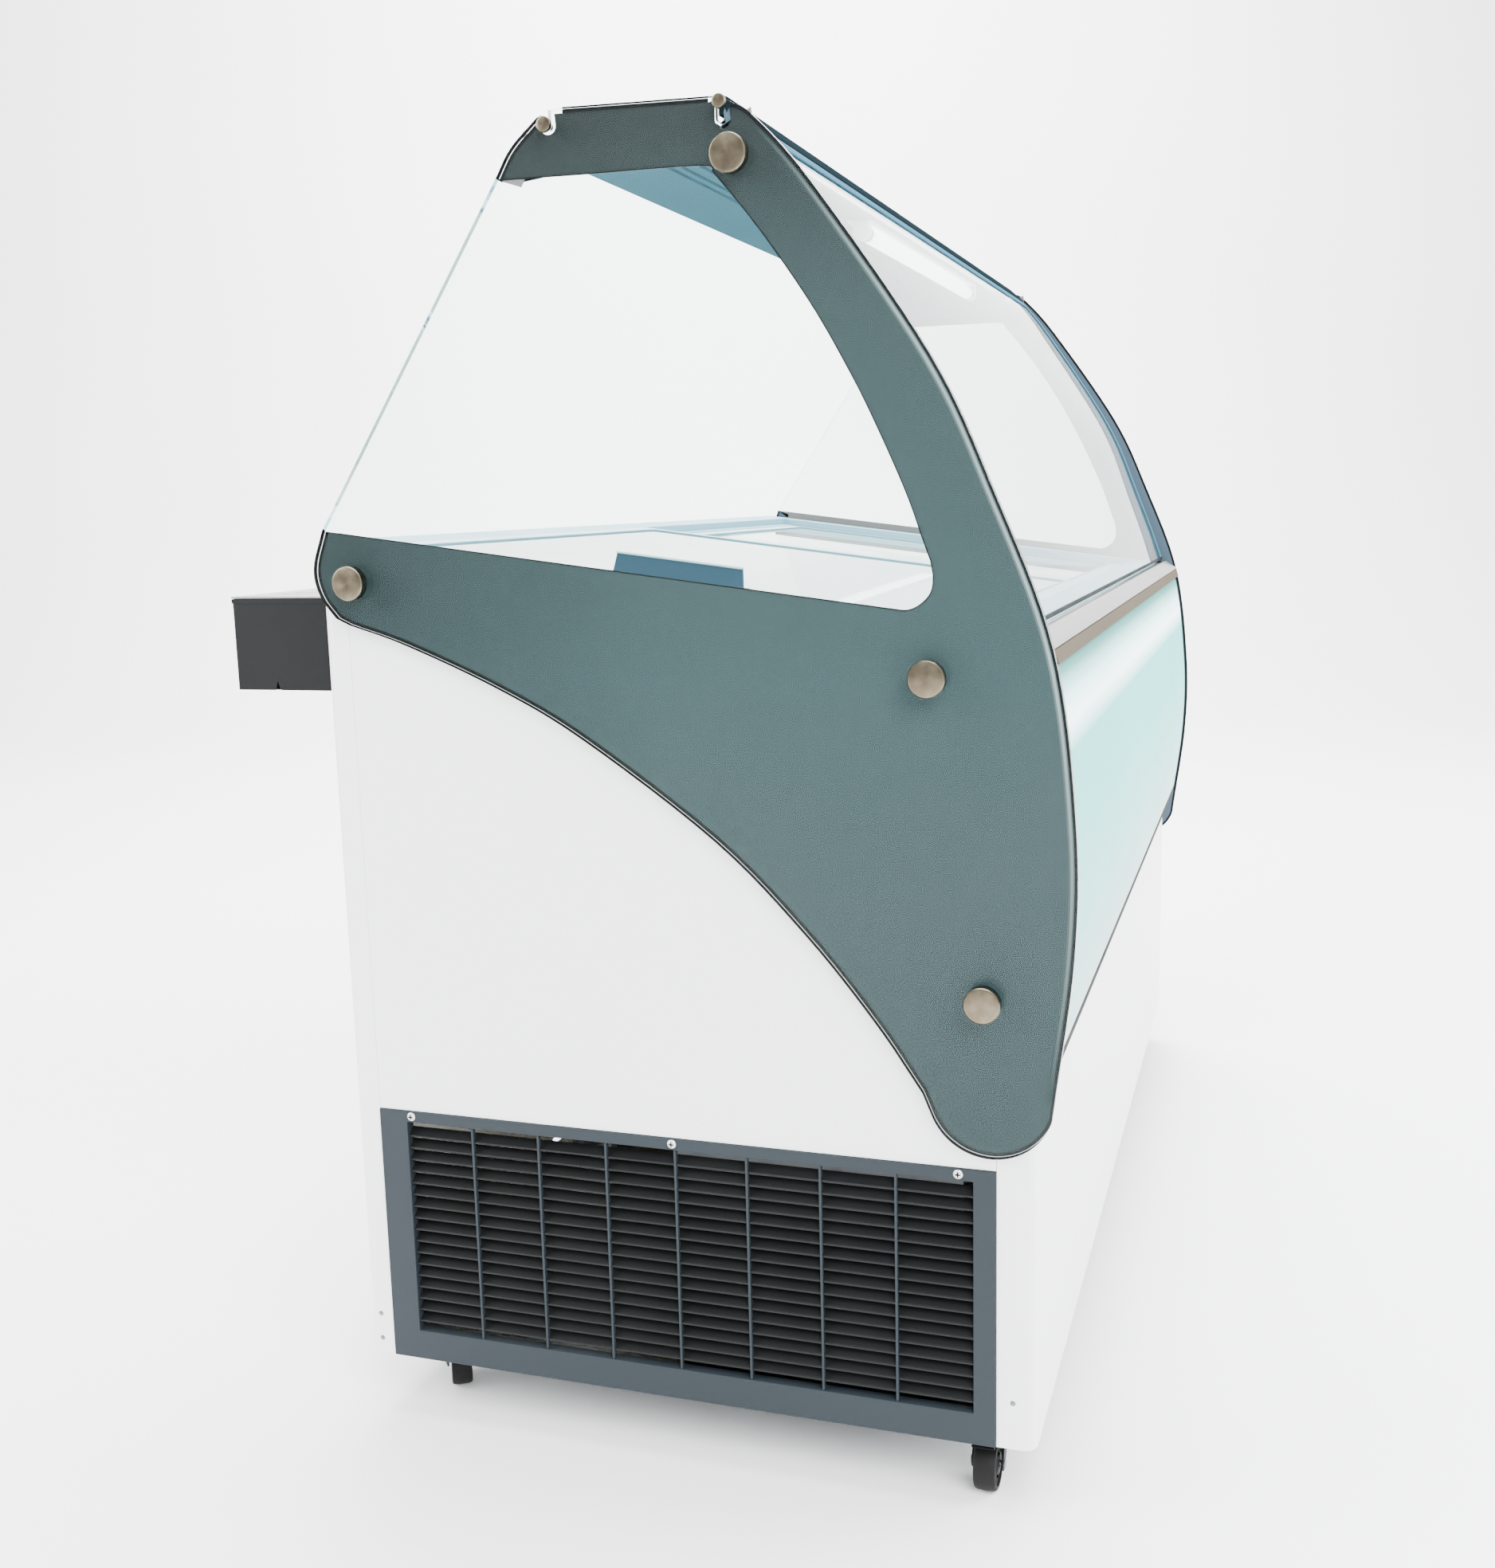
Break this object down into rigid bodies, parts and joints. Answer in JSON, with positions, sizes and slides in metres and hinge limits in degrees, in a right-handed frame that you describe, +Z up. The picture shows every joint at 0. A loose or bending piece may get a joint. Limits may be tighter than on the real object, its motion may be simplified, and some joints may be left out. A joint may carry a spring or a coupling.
{
  "type": "ice cream display freezer",
  "caption": "Scooping freezer on castors with printed side glasses, hinged curved front glass, lit front panel, and sliding glass lids over a chilled tub.",
  "frame": {"origin": "on the floor, under the middle of the whole object's box", "axes": "+Z up, -Y towards the customer (curved front glass), +Y towards the server, X along the cabinet's length"},
  "size_m": [1.428, 0.8076, 1.2156],
  "materials": {
    "white_steel": "satin",
    "zinc_steel": "satin",
    "insulation_foam": "matte",
    "tub_lining": "satin",
    "rim_plastic": "satin",
    "side_glass": "polished",
    "clear_glass": "polished",
    "rail_paint": "satin",
    "canopy_paint": "satin",
    "stainless": "satin",
    "lamp_plastic": "satin",
    "sill_aluminium": "satin",
    "tan_strip": "satin",
    "light_acrylic": "gloss",
    "grille_plastic": "satin",
    "charcoal_steel": "satin",
    "black_plastic": "matte",
    "compressor_iron": "satin",
    "condenser_fins": "matte"
  },
  "bodies": {
    "cabinet": {"front_skin": "white_steel", "rear_skin": "white_steel", "end_panel_left": "white_steel", "end_panel_right": "white_steel", "foam_body": "insulation_foam", "inner_tub": "tub_lining", "rim_frame": "rim_plastic", "side_glass_left": "side_glass", "side_glass_right": "side_glass", "canopy_beam": "canopy_paint", "lamp_fixture": "lamp_plastic", "lamp_tube": "lamp_plastic", "canopy_bolt_left": "stainless", "canopy_bolt_right": "stainless", "sill_profile": "sill_aluminium", "sill_strip": "tan_strip", "light_box_panel": "light_acrylic", "light_box_tray": "zinc_steel", "grille_left": "grille_plastic", "grille_right": "grille_plastic", "scoop_bin": "charcoal_steel", "control_bezel": "black_plastic", "power_inlet": "black_plastic", "base_tray": "zinc_steel", "compressor": "compressor_iron", "condenser": "condenser_fins", "fan_bracket": "zinc_steel", "standoff_left_top": "stainless", "standoff_left_rear": "stainless", "standoff_left_front": "stainless", "standoff_left_low": "stainless", "standoff_right_top": "stainless", "standoff_right_rear": "stainless", "standoff_right_front": "stainless", "standoff_right_low": "stainless"},
    "lid_left": {"lid_left_frame": "rim_plastic", "lid_left_glass": "clear_glass"},
    "lid_right": {"lid_right_frame": "rim_plastic", "lid_right_glass": "clear_glass"},
    "front_window": {"front_glass": "clear_glass", "front_glass_rail_left": "rail_paint", "front_glass_rail_right": "rail_paint", "front_glass_top_rail": "rail_paint", "hinge_pin_left": "stainless", "hinge_pin_right": "stainless"},
    "bin_plate": {"scoop_bin_plate": "sill_aluminium"},
    "switch": {"light_switch": "black_plastic"},
    "knob": {"thermostat_knob": "black_plastic"},
    "fan": {"fan_blade": "black_plastic"},
    "fork_front_left": {"castor_front_left_fork": "zinc_steel"},
    "wheel_front_left": {"castor_front_left_wheel": "black_plastic"},
    "brake_left": {"castor_brake_left": "black_plastic"},
    "fork_front_right": {"castor_front_right_fork": "zinc_steel"},
    "wheel_front_right": {"castor_front_right_wheel": "black_plastic"},
    "brake_right": {"castor_brake_right": "black_plastic"},
    "fork_rear_left": {"castor_rear_left_fork": "zinc_steel"},
    "wheel_rear_left": {"castor_rear_left_wheel": "black_plastic"},
    "fork_rear_right": {"castor_rear_right_fork": "zinc_steel"},
    "wheel_rear_right": {"castor_rear_right_wheel": "black_plastic"}
  },
  "joints": [
    {"name": "lid_left_slide", "type": "slide", "parent": "cabinet", "child": "lid_left", "axis": [1, 0, 0], "range_m": [0, 0.3]},
    {"name": "lid_right_slide", "type": "slide", "parent": "cabinet", "child": "lid_right", "axis": [-1, 0, 0], "range_m": [0, 0.3]},
    {"name": "front_window_hinge", "type": "hinge", "parent": "cabinet", "child": "front_window", "pos_m": [0, -0.1154, 1.207], "axis": [-1, 0, 0], "range_deg": [0, 75]},
    {"name": "bin_plate_lift", "type": "slide", "parent": "cabinet", "child": "bin_plate", "axis": [0, 0, 1], "range_m": [0, 0.06]},
    {"name": "switch_tilt", "type": "hinge", "parent": "cabinet", "child": "switch", "pos_m": [0.425, 0.3021, 0.675], "axis": [1, 0, 0], "range_deg": [0, 13]},
    {"name": "thermostat_turn", "type": "hinge", "parent": "cabinet", "child": "knob", "pos_m": [0.51, 0.3043, 0.675], "axis": [0, -1, 0], "range_deg": [-135, 135]},
    {"name": "fan_spin", "type": "hinge", "parent": "cabinet", "child": "fan", "pos_m": [-0.53, -0.165, 0.19], "axis": [1, 0, 0], "continuous": true},
    {"name": "swivel_front_left", "type": "hinge", "parent": "cabinet", "child": "fork_front_left", "pos_m": [-0.6245, -0.32, 0.0647], "axis": [0, 0, 1], "continuous": true},
    {"name": "roll_front_left", "type": "hinge", "parent": "fork_front_left", "child": "wheel_front_left", "pos_m": [-0.6425, -0.32, 0.025], "axis": [0, 1, 0], "continuous": true},
    {"name": "brake_left_press", "type": "hinge", "parent": "fork_front_left", "child": "brake_left", "pos_m": [-0.6425, -0.32, 0.0555], "axis": [0, -1, 0], "range_deg": [0, 18]},
    {"name": "swivel_front_right", "type": "hinge", "parent": "cabinet", "child": "fork_front_right", "pos_m": [0.6245, -0.32, 0.0647], "axis": [0, 0, 1], "continuous": true},
    {"name": "roll_front_right", "type": "hinge", "parent": "fork_front_right", "child": "wheel_front_right", "pos_m": [0.6425, -0.32, 0.025], "axis": [0, 1, 0], "continuous": true},
    {"name": "brake_right_press", "type": "hinge", "parent": "fork_front_right", "child": "brake_right", "pos_m": [0.6425, -0.32, 0.0555], "axis": [0, 1, 0], "range_deg": [0, 18]},
    {"name": "swivel_rear_left", "type": "hinge", "parent": "cabinet", "child": "fork_rear_left", "pos_m": [-0.6245, 0.226, 0.0647], "axis": [0, 0, 1], "continuous": true},
    {"name": "roll_rear_left", "type": "hinge", "parent": "fork_rear_left", "child": "wheel_rear_left", "pos_m": [-0.60891, 0.235, 0.025], "axis": [-0.5, 0.866, 0], "continuous": true},
    {"name": "swivel_rear_right", "type": "hinge", "parent": "cabinet", "child": "fork_rear_right", "pos_m": [0.6245, 0.226, 0.0647], "axis": [0, 0, 1], "continuous": true},
    {"name": "roll_rear_right", "type": "hinge", "parent": "fork_rear_right", "child": "wheel_rear_right", "pos_m": [0.60891, 0.235, 0.025], "axis": [0.5, 0.866, 0], "continuous": true}
  ]
}
